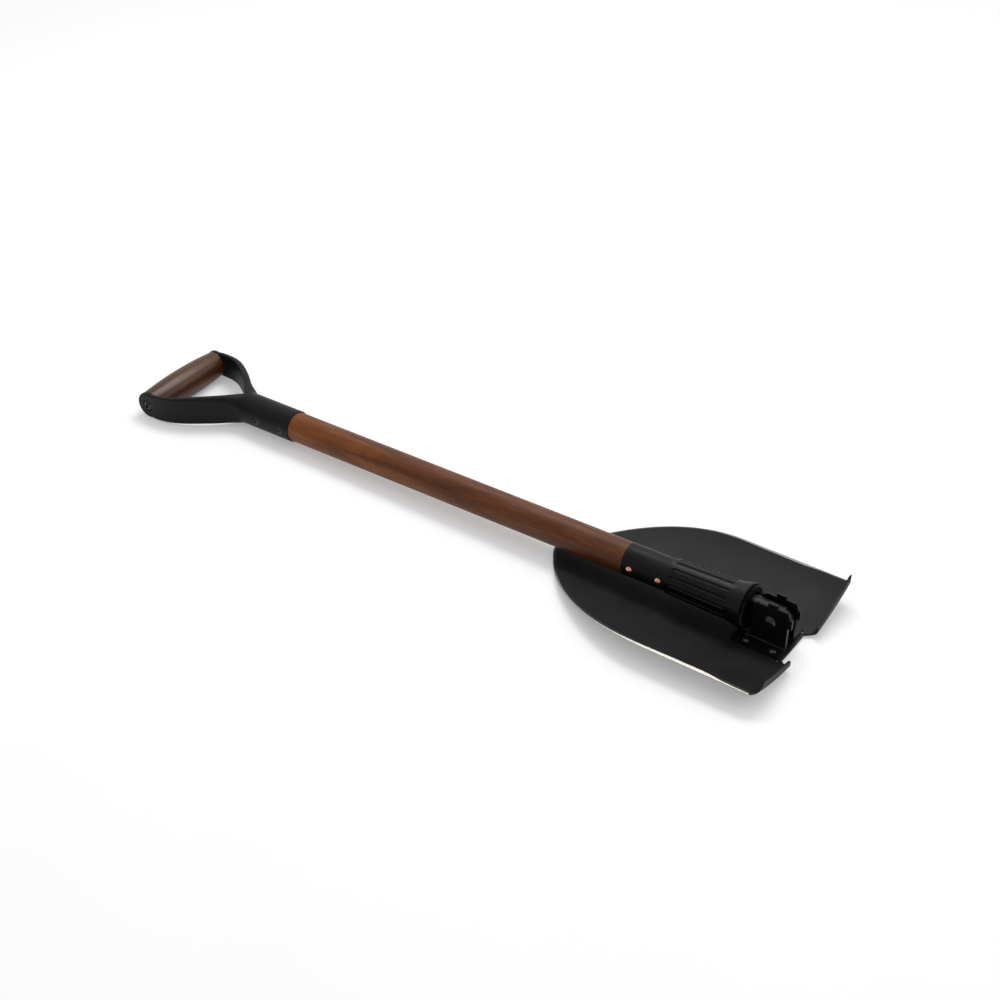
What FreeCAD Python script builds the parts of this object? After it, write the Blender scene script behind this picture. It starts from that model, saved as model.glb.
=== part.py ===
"""Folding camp shovel, shown folded: a D-handled wooden shaft, a steel ferrule with a
threaded hinge stud, a twist collar that locks the hinge, and a dished steel blade.

Frame: +X runs along the shaft towards the hinge, +Y is the far side and +Z is up, so the
folded blade lies under the shaft with its hollow side up. The origin is at the bottom
centre of the folded shovel's box. Everything is in millimetres.
"""
import FreeCAD, Part
import math
import os

import Sketcher

from FreeCAD import Placement, Rotation, Vector

os.makedirs("parts", exist_ok=True)
doc = FreeCAD.newDocument("camp_shovel")

# ---------------------------------------------------------------- driving dimensions
SIZES = [
    # name, value, what it is
    ("axis_height", 26.46, "height of the shaft's axis above the lowest point of the blade"),
    ("play", 0.05, "radial gap of a running or assembly fit"),
    ("shaft_radius", 14.2, "wooden shaft"),
    ("tenon_radius", 13.15, "turned-down ends of the shaft"),
    ("socket_mouth", -184.7, "x where the shaft enters the D-handle"),
    ("socket_radius", 15.2, "outside of the D-handle's socket"),
    ("socket_bottom", -236.7, "x of the bottom of the socket's bore"),
    ("ferrule_mouth", 182.8, "x where the shaft enters the ferrule"),
    ("ferrule_radius", 14.4, "outside of the ferrule"),
    ("ferrule_end", 230.8, "x of the ferrule's front end"),
    ("wood_end", 223.8, "x of the shaft's front end inside the ferrule"),
    ("grip_x", -332.8, "x of the cross grip's axis"),
    ("grip_drop", 2.0, "how far the grip's axis lies below the shaft's"),
    ("grip_radius", 15.0, "cross grip at its middle"),
    ("grip_end_radius", 12.7, "cross grip at its ends"),
    ("grip_half", 45.7, "half the cross grip's length"),
    ("rod_radius", 4.5, "steel rod through the cross grip"),
    ("grip_screw_radius", 3.0, "M6 screws at the ends of the grip"),
    ("screw_depth", 14.0, "reach of a grip screw into the rod"),
    ("yoke_half", 50.0, "half the width of the D-handle over its arms"),
    ("arm_end_radius", 13.0, "round ends of the arms"),
    ("bolt_radius", 2.0, "M4 bolts through the socket"),
    ("sleeve_radius", 3.0, "sleeve nuts of the socket bolts"),
    ("bolt_seat", 14.8, "distance of the bolt heads' seats from the middle"),
    ("bolt_one", -194.3, "x of the bolt nearer the socket's mouth"),
    ("bolt_two", -223.3, "x of the other bolt"),
    ("rivet_radius", 2.4, "copper rivets through the ferrule"),
    ("rivet_seat", 13.9, "distance of the rivet heads' seats from the middle"),
    ("rivet_one", 190.8, "x of the rivet nearer the ferrule's mouth"),
    ("rivet_two", 218.4, "x of the other rivet"),
    ("stud_radius", 12.0, "crest of the hinge stud's thread"),
    ("thread_depth", 1.2, "depth of the collar thread"),
    ("thread_pitch", 4.0, "lead of the collar thread"),
    ("thread_start", 236.8, "x where the thread begins"),
    ("flats_start", 280.8, "x where the two flats of the tang begin"),
    ("tang_half", 5.0, "half the tang's thickness"),
    ("tang_end", 332.9, "x of the tang's end"),
    ("pivot_x", 319.0, "x of the hinge's axis"),
    ("pivot_radius", 3.0, "M6 pivot bolt"),
    ("bush_radius", 4.6, "outside of the bronze pivot bush"),
    ("washer_radius", 8.0, "thin washers beside the tang"),
    ("collar_start", 224.8, "x of the twist collar's rear end"),
    ("collar_end", 295.8, "x of the twist collar's front rim"),
    ("collar_bore", 14.72, "collar skirt that slides over the ferrule"),
    ("nut_start", 248.8, "x of the rear of the nut inside the collar"),
    ("nut_shoulder", 291.3, "x where the nut widens into its knurled flange"),
    ("nut_end", 298.8, "x of the nut's front face"),
    ("nut_radius", 15.4, "nut body inside the collar"),
    ("flange_radius", 18.4, "knurled flange of the nut"),
    ("mouth_start", 291.8, "x of the bottom of the nut's mouth"),
    ("mouth_radius", 13.4, "mouth of the nut, which takes the ear tabs"),
    ("keyed_gauge", 1.4, "thickness of the keyed washer"),
    ("blade_pitch", 1.43, "angle in degrees between the folded blade and the shaft"),
    ("blade_drop", 24.0, "depth of the blade's middle below the hinge's axis"),
    ("blade_gauge", 2.0, "thickness of the blade"),
    ("blade_half", 85.0, "half the width of the blade"),
    ("blade_front", 28.8, "front face of the foot steps, from the hinge's axis"),
    ("blade_rear", 18.8, "blade's edge between the foot steps, from the hinge's axis"),
    ("step_gap", 24.5, "half the gap between the foot steps"),
    ("step_rise", 9.0, "height of the foot steps above the blade"),
    ("step_bend", 4.0, "inside radius of the bend of the foot steps"),
    ("trough_radius", 214.0, "radius of the blade's hollow side"),
    ("point_radius", 158.5, "radius of the two arcs that meet at the blade's tip"),
    ("point_start", -71.2, "x of the arcs' centres, from the hinge's axis"),
    ("edge_bevel", 3.2, "width of the sharpened edge"),
    ("ear_gap", 5.8, "distance from the middle to the ears' inner faces"),
    ("ear_gauge", 3.0, "thickness of the ears"),
    ("ear_rivet_y", 15.0, "distance of the ear rivets from the middle"),
    ("ear_rivet_radius", 2.2, "rivets through the ears' feet"),
]
sheet = doc.addObject("Spreadsheet::Sheet", "sizes")
for row, (name, value, note) in enumerate(SIZES, start=1):
    sheet.set(f"A{row}", note)
    sheet.set(f"B{row}", str(value))
    sheet.setAlias(f"B{row}", name)
doc.recompute()


def size(name):
    """A driving dimension as a plain number."""
    return float(sheet.get(name))


# ---------------------------------------------------------------- small tools
def bind(thing, **formulas):
    """Bind properties to formulas of the sheet's names; Base_x stands for Placement.Base.x."""
    for key, formula in formulas.items():
        path = key.replace("Base_", "Placement.Base.")
        thing.setExpression(path, formula)
    return thing


TURN = {
    "x": Rotation(Vector(0, 1, 0), 90),
    "y": Rotation(Vector(1, 0, 0), -90),
    "z": Rotation(),
}


def rod(name, radius, start, length, axis="x", at=("0", "0", "sizes.axis_height")):
    """A cylinder that begins at `start` along an axis; `at` holds the other two places."""
    thing = doc.addObject("Part::Cylinder", name)
    thing.Placement = Placement(Vector(), TURN[axis])
    place = dict(zip("xyz", at))
    place[axis] = start
    bind(thing, Radius=radius, Height=length, **{f"Base_{k}": v for k, v in place.items()})
    return thing


def fuse(name, pieces):
    """Part::MultiFuse of several pieces."""
    thing = doc.addObject("Part::MultiFuse", name)
    thing.Shapes = pieces
    thing.Refine = True
    return thing


def cut(name, base, tools):
    """Part::Cut of a base with one tool or several."""
    thing = doc.addObject("Part::Cut", name)
    thing.Base = base
    thing.Tool = tools[0] if len(tools) == 1 else fuse(name + "_tools", tools)
    thing.Refine = True
    return thing


def common(name, one, other):
    """Part::Common of two pieces."""
    thing = doc.addObject("Part::Common", name)
    thing.Base = one
    thing.Tool = other
    return thing


def group(name, pieces):
    """Several separate solids of one node."""
    thing = doc.addObject("Part::Compound", name)
    thing.Links = pieces
    return thing


def origin_plane(body, role):
    """One of a body's own origin planes, such as XY_Plane."""
    return next(f for f in body.Origin.OriginFeatures if f.Role == role)


def sketch_on(body, name, role="XY_Plane"):
    """An empty sketch on one of the body's origin planes."""
    sketch = body.newObject("Sketcher::SketchObject", name)
    sketch.AttachmentSupport = (origin_plane(body, role), [""])
    sketch.MapMode = "FlatFace"
    return sketch


def draw_polygon(sketch, points):
    """A closed polygon whose corners are (x, y) formulas of the sheet's names."""
    corners = [Vector(number(x), number(y), 0) for x, y in points]
    count = len(corners)
    for i in range(count):
        sketch.addGeometry(Part.LineSegment(corners[i], corners[(i + 1) % count]), False)
    for i in range(count):
        sketch.addConstraint(Sketcher.Constraint("Coincident", i, 2, (i + 1) % count, 1))
    for i, (x, y) in enumerate(points):
        for kind, formula, value in (("DistanceX", x, corners[i].x), ("DistanceY", y, corners[i].y)):
            index = sketch.addConstraint(Sketcher.Constraint(kind, -1, 1, i, 1, value))
            sketch.setExpression(f"Constraints[{index}]", formula)


def number(formula):
    """What a formula of the sheet's names comes to."""
    value = sheet.evalExpression(formula.replace("sizes.", ""))
    return float(getattr(value, "Value", value))


def turned(name, points, at=("0", "0", "sizes.axis_height"), along="x"):
    """A PartDesign body turned about its own axis, from (along, radius) corner formulas."""
    body = doc.addObject("PartDesign::Body", name)
    sketch = sketch_on(body, name + "_profile")
    draw_polygon(sketch, points)
    turn = body.newObject("PartDesign::Revolution", name + "_turned")
    turn.Profile = sketch
    turn.ReferenceAxis = (sketch, ["H_Axis"])
    turn.Angle = 360
    body.Placement = Placement(Vector(), Rotation() if along == "x" else Rotation(Vector(0, 0, 1), 90))
    bind(body, Base_x=at[0], Base_y=at[1], Base_z=at[2])
    return body


nodes = {}


def node(name, thing):
    """Register an object as a finished sub-part under its node's name."""
    thing.Label = name
    nodes[name] = thing


# ---------------------------------------------------------------- wooden shaft
BOLTS = ("sizes.bolt_one", "sizes.bolt_two")
RIVETS = ("sizes.rivet_one", "sizes.rivet_two")


def cross_rods(name, places, radius, start, length):
    """Cylinders along Y through the shaft's axis, one at each x."""
    return [
        rod(f"{name}_{i}", radius, start, length, "y", (x, "0", "sizes.axis_height"))
        for i, x in enumerate(places)
    ]


shaft_blank = turned(
    "shaft_blank",
    [
        ("sizes.socket_bottom + 2", "0"),
        ("sizes.socket_bottom + 2", "sizes.tenon_radius"),
        ("sizes.socket_mouth", "sizes.tenon_radius"),
        ("sizes.socket_mouth", "sizes.shaft_radius"),
        ("sizes.ferrule_mouth", "sizes.shaft_radius"),
        ("sizes.ferrule_mouth", "sizes.tenon_radius"),
        ("sizes.wood_end", "sizes.tenon_radius"),
        ("sizes.wood_end", "0"),
    ],
)
shaft_holes = cross_rods("shaft_bolt_hole", BOLTS, "sizes.bolt_radius + sizes.play", "-20", "40")
shaft_holes += cross_rods("shaft_sleeve_hole", BOLTS, "sizes.sleeve_radius + sizes.play", "3.5", "20")
shaft_holes += cross_rods("shaft_rivet_hole", RIVETS, "sizes.rivet_radius + sizes.play", "-20", "40")
node("wood_shaft", cut("shaft_drilled", shaft_blank, shaft_holes))


# ---------------------------------------------------------------- D-handle yoke
# One arm from the socket to the grip: distance in front of the grip's axis, y of its middle,
# height above the shaft's axis, thickness, half height, and outer and inner corner radius.
# The first sections are half of the socket's round, so that the arms grow out of it.
ARM_STATIONS = [
    (92.0, 6.6, 0.0, 17.0, 15.1, 14.9, 0.4),
    (87.0, 6.8, 0.0, 16.8, 15.2, 14.4, 0.6),
    (81.6, 9.7, 0.4, 12.4, 15.2, 10.0, 2.0),
    (74.6, 14.4, 0.9, 8.6, 15.1, 5.8, 2.4),
    (65.6, 21.9, 1.4, 6.6, 14.9, 3.2, 2.2),
    (53.6, 30.9, 1.4, 6.0, 14.6, 2.4, 2.0),
    (39.6, 39.9, 0.7, 5.4, 14.1, 2.0, 1.8),
    (25.6, 45.7, -0.5, 4.7, 13.5, 1.7, 1.6),
    (12.6, 47.75, -1.5, 4.3, 13.1, 1.4, 1.4),
    (3.0, 47.85, -1.9, 4.1, 12.4, 1.2, 1.2),
]


def rounded_section(centre, side, thickness, half_height, outer, inner):
    """A closed wire that stands along Z: `side` points out, and has the outer corner radius."""
    up = Vector(0, 0, 1)
    edges = []
    for across, along, start, corner in ((1, 1, 0, outer), (-1, 1, 90, inner), (-1, -1, 180, inner), (1, -1, 270, outer)):
        middle = centre + side * (across * (thickness / 2 - corner)) + up * (along * (half_height - corner))
        arc_points = [
            middle
            + side * (corner * math.cos(math.radians(start + turn)))
            + up * (corner * math.sin(math.radians(start + turn)))
            for turn in (0, 45, 90)
        ]
        if edges:
            edges.append(Part.LineSegment(edges[-1].Vertexes[-1].Point, arc_points[0]).toShape())
        edges.append(Part.Arc(*arc_points).toShape())
    edges.append(Part.LineSegment(edges[-1].Vertexes[-1].Point, edges[0].Vertexes[0].Point).toShape())
    return Part.Wire(edges)


def yoke_arm():
    """The arm on the far side, lofted along its stations, with its round end."""
    height = size("axis_height")
    centres = [Vector(size("grip_x") + x, y, height + rise) for x, y, rise, *_ in ARM_STATIONS]
    wires = []
    for i, station in enumerate(ARM_STATIONS):
        ahead = centres[min(i + 1, len(centres) - 1)] - centres[max(i - 1, 0)]
        if i in (0, 1, len(centres) - 1):
            ahead = Vector(-1, 0, 0)
        side = Vector(ahead.y, -ahead.x, 0).normalize()
        wires.append(rounded_section(centres[i], side, *station[3:]))
    arm = Part.makeLoft(wires, True, False)
    inner_face = Vector(size("grip_x"), size("grip_half"), height - size("grip_drop"))
    gauge = size("yoke_half") - size("grip_half")
    disc = Part.makeCylinder(size("arm_end_radius"), gauge, inner_face, Vector(0, 1, 0))
    rims = [edge for edge in disc.Edges if edge.Closed]
    far_half = Part.makeBox(300, 100, 100, Vector(size("grip_x") - 100, 0, height - 50))
    return arm.fuse(disc.makeFillet(1.3, rims)).common(far_half)


def yoke_shape():
    """Both arms, the socket with its bore, and the holes and seats of the fasteners."""
    height = size("axis_height")
    grip_height = height - size("grip_drop")
    along = Vector(1, 0, 0)
    across = Vector(0, 1, 0)
    arm = yoke_arm()
    socket_back = size("grip_x") + ARM_STATIONS[1][0]
    socket = Part.makeCylinder(
        size("socket_radius"), size("socket_mouth") - socket_back, Vector(socket_back, 0, height), along
    )
    solid = socket.multiFuse([arm, arm.mirror(Vector(), across)])
    bore = size("tenon_radius") + size("play")
    depth = size("socket_mouth") - size("socket_bottom")
    tools = [Part.makeCylinder(bore, depth, Vector(size("socket_bottom"), 0, height), along)]
    for x in (size("bolt_one"), size("bolt_two")):
        tools.append(Part.makeCylinder(size("bolt_radius") + size("play"), 20, Vector(x, -20, height), across))
        tools.append(Part.makeCylinder(size("sleeve_radius") + size("play"), 20, Vector(x, 0, height), across))
        for turn in (1, -1):
            seat = Vector(x, turn * size("bolt_seat"), height)
            tools.append(Part.makeCylinder(4.1, 3, seat, across * turn))
    for turn in (1, -1):
        hole = Vector(size("grip_x"), turn * (size("grip_half") - 2), grip_height)
        tools.append(Part.makeCylinder(size("grip_screw_radius") + size("play"), 10, hole, across * turn))
        dish = Vector(size("grip_x"), turn * (size("yoke_half") - 0.9), grip_height)
        tools.append(Part.makeCylinder(5.9, 3, dish, across * turn))
    near_end = Vector(size("grip_x"), -size("grip_half"), grip_height)
    tools.append(Part.makeCylinder(size("grip_radius") + 2, 2 * size("grip_half"), near_end, across))
    return solid.cut(tools)


yoke = doc.addObject("Part::Feature", "yoke")
yoke.Shape = yoke_shape()
yoke.Placement = Placement()
node("handle_yoke", yoke)


# ---------------------------------------------------------------- cross grip
def barrel_grip():
    """The turned wooden grip: a shallow barrel, drilled for its rod."""
    body = doc.addObject("PartDesign::Body", "grip_blank")
    sketch = sketch_on(body, "grip_profile")
    half, middle, end = size("grip_half"), size("grip_radius"), size("grip_end_radius")
    bore = size("rod_radius") + size("play")
    corners = [Vector(half, end, 0), Vector(half, bore, 0), Vector(-half, bore, 0), Vector(-half, end, 0)]
    for start, finish in zip(corners, corners[1:]):
        sketch.addGeometry(Part.LineSegment(start, finish), False)
    sketch.addGeometry(Part.Arc(corners[3], Vector(0, middle, 0), corners[0]), False)
    for one, one_end, other, other_end in ((0, 2, 1, 1), (1, 2, 2, 1), (2, 2, 3, 2), (3, 1, 0, 1)):
        sketch.addConstraint(Sketcher.Constraint("Coincident", one, one_end, other, other_end))
    sketch.addConstraint(Sketcher.Constraint("Vertical", 0))
    sketch.addConstraint(Sketcher.Constraint("Horizontal", 1))
    sketch.addConstraint(Sketcher.Constraint("Vertical", 2))
    places = (
        ("DistanceX", 0, half, "sizes.grip_half"),
        ("DistanceY", 0, end, "sizes.grip_end_radius"),
        ("DistanceY", 1, bore, "sizes.rod_radius + sizes.play"),
        ("DistanceX", 2, -half, "-sizes.grip_half"),
        ("DistanceY", 3, end, "sizes.grip_end_radius"),
    )
    for kind, line, value, formula in places:
        index = sketch.addConstraint(Sketcher.Constraint(kind, -1, 1, line, 1 if line != 3 else 2, value))
        sketch.setExpression(f"Constraints[{index}]", formula)
    turn = body.newObject("PartDesign::Revolution", "grip_turned")
    turn.Profile = sketch
    turn.ReferenceAxis = (sketch, ["H_Axis"])
    turn.Angle = 360
    body.Placement = Placement(Vector(), Rotation(Vector(0, 0, 1), 90))
    return bind(body, Base_x="sizes.grip_x", Base_z="sizes.axis_height - sizes.grip_drop")


node("wood_grip", barrel_grip())

GRIP_AT = ("sizes.grip_x", "0", "sizes.axis_height - sizes.grip_drop")
grip_bar = rod("grip_bar", "sizes.rod_radius", "-sizes.grip_half", "2 * sizes.grip_half", "y", GRIP_AT)
thread_reach = "sizes.screw_depth + 1"
thread_room = "sizes.grip_screw_radius + sizes.play"
grip_bar_holes = [
    rod("grip_hole_near", thread_room, "-sizes.grip_half", thread_reach, "y", GRIP_AT),
    rod("grip_hole_far", thread_room, f"sizes.grip_half - ({thread_reach})", thread_reach, "y", GRIP_AT),
]
node("grip_rod", cut("grip_rod_tapped", grip_bar, grip_bar_holes))


# ---------------------------------------------------------------- screws, bolts and rivets
def button_head(name, radius, height, socket, seat, side, at):
    """A button head with a six-sided socket; it stands on `seat` and rises along Y by `side`."""
    x, z = at
    turn = Rotation(Vector(1, 0, 0), -90 * side)
    ball_radius = (radius * radius + height * height) / (2 * height)
    ball = doc.addObject("Part::Sphere", name + "_ball")
    ball.Radius = ball_radius
    bind(ball, Base_x=x, Base_y=f"{seat} + {side * (height - ball_radius)}", Base_z=z)
    block = doc.addObject("Part::Cylinder", name + "_block")
    block.Radius = radius
    block.Height = height
    block.Placement = Placement(Vector(), turn)
    bind(block, Base_x=x, Base_y=seat, Base_z=z)
    key = doc.addObject("Part::Prism", name + "_key")
    key.Polygon = 6
    key.Circumradius = socket
    key.Height = height
    key.Placement = Placement(Vector(), turn)
    bind(key, Base_x=x, Base_y=f"{seat} + {side * height * 0.4}", Base_z=z)
    return cut(name, common(name + "_dome", block, ball), [key])


def rivet_head(name, radius, height, seat, side, at):
    """A plain domed head on `seat`, rising along Y by `side`."""
    x, z = at
    ball_radius = (radius * radius + height * height) / (2 * height)
    ball = doc.addObject("Part::Sphere", name + "_ball")
    ball.Radius = ball_radius
    bind(ball, Base_x=x, Base_y=f"{seat} + {side * (height - ball_radius)}", Base_z=z)
    block = doc.addObject("Part::Cylinder", name + "_block")
    block.Radius = radius
    block.Height = height
    block.Placement = Placement(Vector(), Rotation(Vector(1, 0, 0), -90 * side))
    bind(block, Base_x=x, Base_y=seat, Base_z=z)
    return common(name, block, ball)


grip_screws = []
for label, side in (("near", -1), ("far", 1)):
    seat = f"{side} * (sizes.yoke_half - 0.9)"
    head = button_head(f"grip_head_{label}", 5.4, 2.6, 2.2, seat, side, (GRIP_AT[0], GRIP_AT[2]))
    shank_length = "sizes.yoke_half - 0.9 - sizes.grip_half + sizes.screw_depth"
    shank_start = f"-({shank_length}) / 2 + {side} * (sizes.yoke_half - 0.9 - ({shank_length}) / 2)"
    shank = rod(f"grip_shank_{label}", "sizes.grip_screw_radius", shank_start, shank_length, "y", GRIP_AT)
    grip_screws.append(fuse(f"grip_screw_{label}", [head, shank]))
node("grip_screws", group("grip_screw_pair", grip_screws))

socket_bolts = []
sleeve_nuts = []
for i, x in enumerate(BOLTS):
    at = (x, "sizes.axis_height")
    line = (x, "0", "sizes.axis_height")
    head = button_head(f"bolt_head_{i}", 3.8, 2.0, 1.5, "-sizes.bolt_seat", -1, at)
    shank = rod(f"bolt_shank_{i}", "sizes.bolt_radius", "-sizes.bolt_seat", "sizes.bolt_seat + 11", "y", line)
    socket_bolts.append(fuse(f"socket_bolt_{i}", [head, shank]))
    head = button_head(f"nut_head_{i}", 3.8, 2.0, 1.5, "sizes.bolt_seat", 1, at)
    sleeve = rod(f"nut_sleeve_{i}", "sizes.sleeve_radius", "4", "sizes.bolt_seat - 4", "y", line)
    inside = rod(f"nut_inside_{i}", "sizes.bolt_radius + sizes.play", "4", "8", "y", line)
    sleeve_nuts.append(cut(f"socket_nut_{i}", fuse(f"nut_solid_{i}", [head, sleeve]), [inside]))
node("socket_bolts", group("socket_bolt_pair", socket_bolts))
node("socket_sleeve_nuts", group("socket_nut_pair", sleeve_nuts))

copper_rivets = []
for i, x in enumerate(RIVETS):
    at = (x, "sizes.axis_height")
    pieces = [
        rivet_head(f"rivet_near_{i}", 3.3, 1.9, "-sizes.rivet_seat", -1, at),
        rivet_head(f"rivet_far_{i}", 3.3, 1.9, "sizes.rivet_seat", 1, at),
        rod(f"rivet_pin_{i}", "sizes.rivet_radius", "-sizes.rivet_seat", "2 * sizes.rivet_seat", "y",
            (x, "0", "sizes.axis_height")),
    ]
    copper_rivets.append(fuse(f"copper_rivet_{i}", pieces))
node("ferrule_rivets", group("copper_rivet_pair", copper_rivets))


# ---------------------------------------------------------------- ferrule and hinge stud
ferrule_tube = turned(
    "ferrule_tube",
    [
        ("sizes.ferrule_mouth", "sizes.tenon_radius + sizes.play"),
        ("sizes.ferrule_mouth", "sizes.ferrule_radius - 0.3"),
        ("sizes.ferrule_mouth + 0.4", "sizes.ferrule_radius"),
        ("sizes.ferrule_end", "sizes.ferrule_radius"),
        ("sizes.ferrule_end", "sizes.tenon_radius + sizes.play"),
    ],
)
ferrule_tools = cross_rods("ferrule_rivet_hole", RIVETS, "sizes.rivet_radius + sizes.play", "-20", "40")
ferrule_tools += cross_rods("ferrule_seat_far", RIVETS, "3.7", "sizes.rivet_seat", "3")
ferrule_tools += cross_rods("ferrule_seat_near", RIVETS, "3.7", "-sizes.rivet_seat - 3", "3")
node("ferrule", cut("ferrule_drilled", ferrule_tube, ferrule_tools))


def stud_profile():
    """Half the hinge stud's outline, with a ring groove for each turn of its thread."""
    corners = [
        ("sizes.wood_end + 0.2", "0"),
        ("sizes.wood_end + 0.2", "sizes.tenon_radius"),
        ("sizes.ferrule_end", "sizes.tenon_radius"),
        ("sizes.ferrule_end", "sizes.ferrule_radius"),
        ("sizes.thread_start - 2", "sizes.ferrule_radius"),
        ("sizes.thread_start - 2", "sizes.stud_radius - sizes.thread_depth"),
        ("sizes.thread_start", "sizes.stud_radius - sizes.thread_depth"),
    ]
    turns = 14
    for turn in range(turns):
        start = f"sizes.thread_start + {turn} * sizes.thread_pitch"
        corners += [
            (f"{start} + 0.25 * sizes.thread_pitch", "sizes.stud_radius"),
            (f"{start} + 0.5 * sizes.thread_pitch", "sizes.stud_radius"),
            (f"{start} + 0.75 * sizes.thread_pitch", "sizes.stud_radius - sizes.thread_depth"),
            (f"{start} + 1.0 * sizes.thread_pitch", "sizes.stud_radius - sizes.thread_depth"),
        ]
    neck = f"sizes.thread_start + {turns} * sizes.thread_pitch + 1"
    return corners + [
        (neck, "sizes.stud_radius"),
        ("sizes.tang_end - 5", "sizes.stud_radius"),
        ("sizes.tang_end", "sizes.stud_radius - 5"),
        ("sizes.tang_end", "0"),
    ]


stud_blank = turned("stud_blank", stud_profile())
flats = []
for label, start in (("near", "-sizes.tang_half - 20"), ("far", "sizes.tang_half")):
    flat = doc.addObject("Part::Box", f"flat_{label}")
    bind(flat, Length="60", Width="20", Height="40")
    bind(flat, Base_x="sizes.flats_start", Base_y=start, Base_z="sizes.axis_height - 20")
    flats.append(flat)
PIVOT_AT = ("sizes.pivot_x", "0", "sizes.axis_height")
bush_hole = rod("bush_hole", "sizes.bush_radius + 0.01", "-10", "20", "y", PIVOT_AT)
node("hinge_stud", cut("hinge_stud_milled", stud_blank, flats + [bush_hole]))

bush_blank = rod("bush_blank", "sizes.bush_radius", "-sizes.tang_half", "2 * sizes.tang_half", "y", PIVOT_AT)
bush_bore = rod("bush_bore", "sizes.pivot_radius + sizes.play", "-10", "20", "y", PIVOT_AT)
node("pivot_bush", cut("pivot_bush_bored", bush_blank, [bush_bore]))


# ---------------------------------------------------------------- twist collar
collar_blank = turned(
    "collar_blank",
    [
        ("sizes.collar_start", "sizes.collar_bore"),
        ("sizes.collar_start", "15.2"),
        ("sizes.collar_start + 0.6", "15.6"),
        ("sizes.collar_start + 57", "17.4"),
        ("sizes.collar_start + 61", "18.0"),
        ("sizes.collar_start + 66", "19.2"),
        ("sizes.collar_end - 1", "20"),
        ("sizes.collar_end", "19.6"),
        ("sizes.collar_end", "sizes.flange_radius + sizes.play"),
        ("sizes.nut_shoulder", "sizes.flange_radius + sizes.play"),
        ("sizes.nut_shoulder", "sizes.nut_radius + sizes.play"),
        ("sizes.nut_start", "sizes.nut_radius + sizes.play"),
        ("sizes.nut_start", "sizes.stud_radius + 1.5"),
        ("sizes.nut_start - 5", "sizes.stud_radius + 1.5"),
        ("sizes.nut_start - 5", "sizes.collar_bore"),
    ],
)
FLUTES = 14
FLUTE_RADIUS = 1.5
FLUTE_DEPTH = 1.0
FLUTE_LENGTH = 53.0
FLUTE_SLOPE = 1.85
FIRST_FLUTE = 3.7
flutes = []
for i in range(FLUTES):
    turn = Rotation(Vector(1, 0, 0), FIRST_FLUTE + 360 / FLUTES * i)
    tilt = Rotation(Vector(0, 1, 0), 90 - FLUTE_SLOPE)
    foot = turn.multVec(Vector(0, 0, 15.7 - FLUTE_DEPTH + FLUTE_RADIUS))
    flute = doc.addObject("Part::Cylinder", f"flute_{i}")
    flute.Radius = FLUTE_RADIUS
    flute.Height = FLUTE_LENGTH
    flute.Placement = Placement(Vector(), turn.multiply(tilt))
    bind(
        flute,
        Base_x="sizes.collar_start + 4",
        Base_y=f"{foot.y}",
        Base_z=f"sizes.axis_height + {foot.z}",
    )
    flutes.append(flute)
node("collar_grip", cut("collar_fluted", collar_blank, flutes))


def nut_shape():
    """The nut moulded into the collar: a sleeve with a toothed flange, bore and mouth."""
    height = size("axis_height")
    along = Vector(1, 0, 0)
    teeth = 64
    tooth_depth = 1.0
    outline = []
    for i in range(2 * teeth):
        radius = size("flange_radius") - (tooth_depth if i % 2 else 0)
        angle = math.pi * i / teeth
        outline.append(
            Vector(size("nut_shoulder") + 0.1, radius * math.cos(angle), height + radius * math.sin(angle))
        )
    flange_face = Part.Face(Part.makePolygon(outline + outline[:1]))
    flange = flange_face.extrude(along * (size("nut_end") - size("nut_shoulder") - 0.1))
    back = Vector(size("nut_start") + 0.1, 0, height)
    sleeve = Part.makeCylinder(size("nut_radius"), size("nut_end") - 1 - back.x, back, along)
    bore = Part.makeCylinder(size("stud_radius") + size("play"), 80, Vector(back.x - 1, 0, height), along)
    mouth = Part.makeCylinder(size("mouth_radius"), 20, Vector(size("mouth_start"), 0, height), along)
    return flange.fuse(sleeve).cut([bore, mouth]).removeSplitter()


nut = doc.addObject("Part::Feature", "nut")
nut.Shape = nut_shape()
nut.Placement = Placement()
node("collar_nut", nut)

keyed_disc = rod("keyed_disc", "sizes.mouth_radius - 0.4", "sizes.mouth_start + 0.1", "sizes.keyed_gauge")
keyed_slab = doc.addObject("Part::Box", "keyed_slab")
bind(keyed_slab, Length="20", Width="2 * (sizes.tang_half + sizes.play)", Height="40")
bind(
    keyed_slab,
    Base_x="sizes.mouth_start - 5",
    Base_y="-sizes.tang_half - sizes.play",
    Base_z="sizes.axis_height - 20",
)
keyed_round = rod("keyed_round", "sizes.stud_radius + sizes.play", "sizes.mouth_start - 5", "20")
keyed_hole = common("keyed_hole", keyed_slab, keyed_round)
node("keyed_washer", cut("keyed_washer_punched", keyed_disc, [keyed_hole]))


# ---------------------------------------------------------------- the folding half
# These are drawn from the hinge's axis, with the blade level, and then hung on the hinge.
def hang(thing):
    """Put a piece on the hinge, turned by the folded blade's pitch."""
    thing.Placement = Placement(Vector(), Rotation(Vector(0, 1, 0), size("blade_pitch")))
    thing.setExpression("Placement.Rotation.Angle", "sizes.blade_pitch")
    return bind(thing, Base_x="sizes.pivot_x", Base_z="sizes.axis_height")


LEVEL = ("0", "0", "0")
TROUGH_AT = ("0", "0", "sizes.trough_radius - sizes.blade_drop")


def trough_space(name):
    """The space above the blade's hollow side."""
    return rod(name, "sizes.trough_radius", "-260", "320", "x", TROUGH_AT)


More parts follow.
